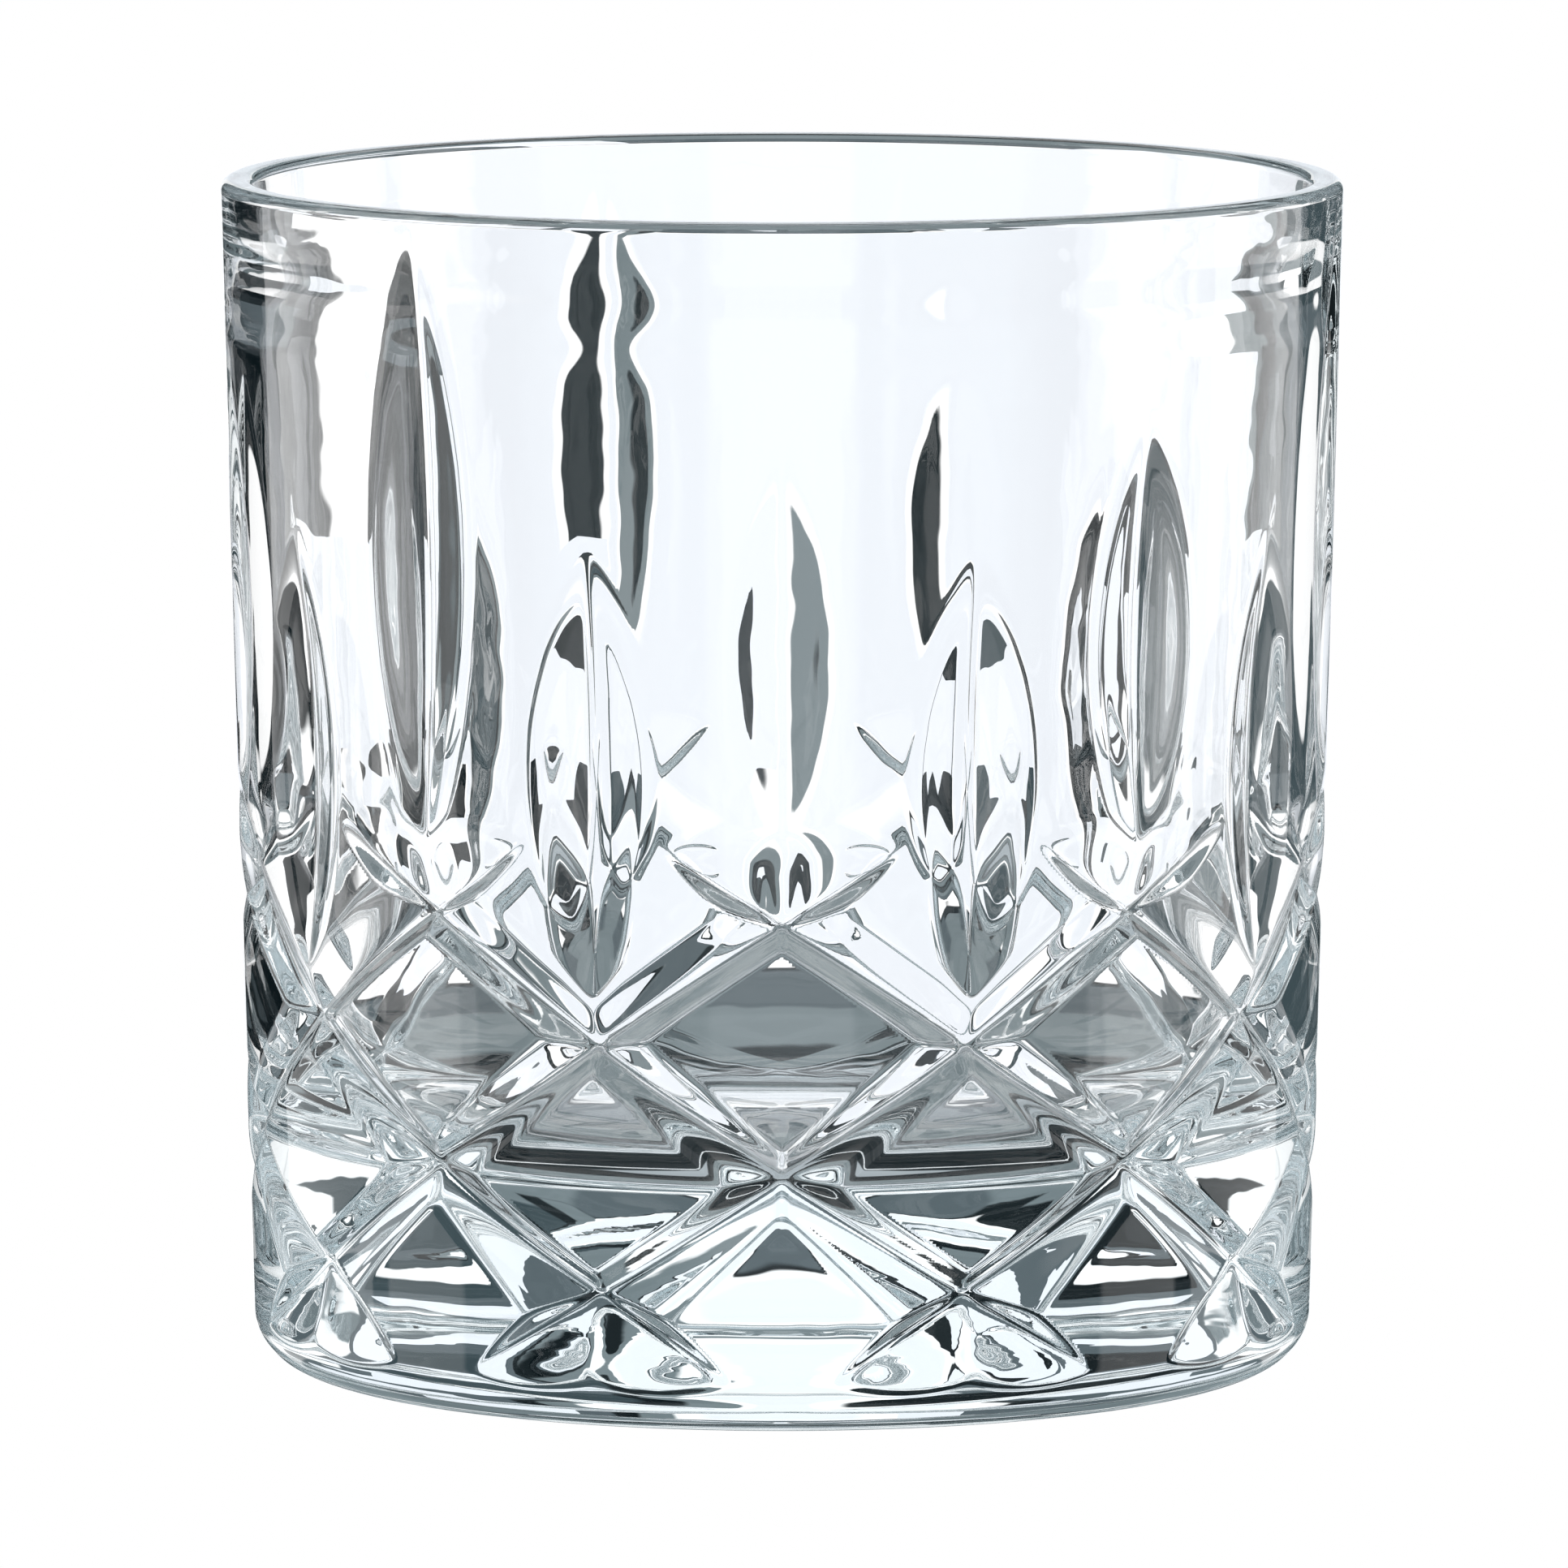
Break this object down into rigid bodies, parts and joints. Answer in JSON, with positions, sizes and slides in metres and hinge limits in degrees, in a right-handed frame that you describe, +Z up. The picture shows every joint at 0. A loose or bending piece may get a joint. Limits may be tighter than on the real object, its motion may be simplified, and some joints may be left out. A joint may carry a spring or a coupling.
{
  "type": "whiskey tumbler",
  "caption": "Straight-sided clear cut-glass whiskey tumbler with a thick base, crossed diagonal cuts round the lower wall and upright spear cuts above them.",
  "frame": {"origin": "centre of the foot's resting plane, on the glass's axis", "axes": "+Z up along the glass's axis from the foot to the mouth; -Y is the front, where a crossing of the diagonal cuts has no upright cut above it; +X is to the right seen from the front"},
  "size_m": [0.082, 0.082, 0.087],
  "materials": {
    "clear_glass": "polished clear crystal glass"
  },
  "bodies": {
    "root": {"glass_body": "clear_glass"}
  },
  "joints": []
}
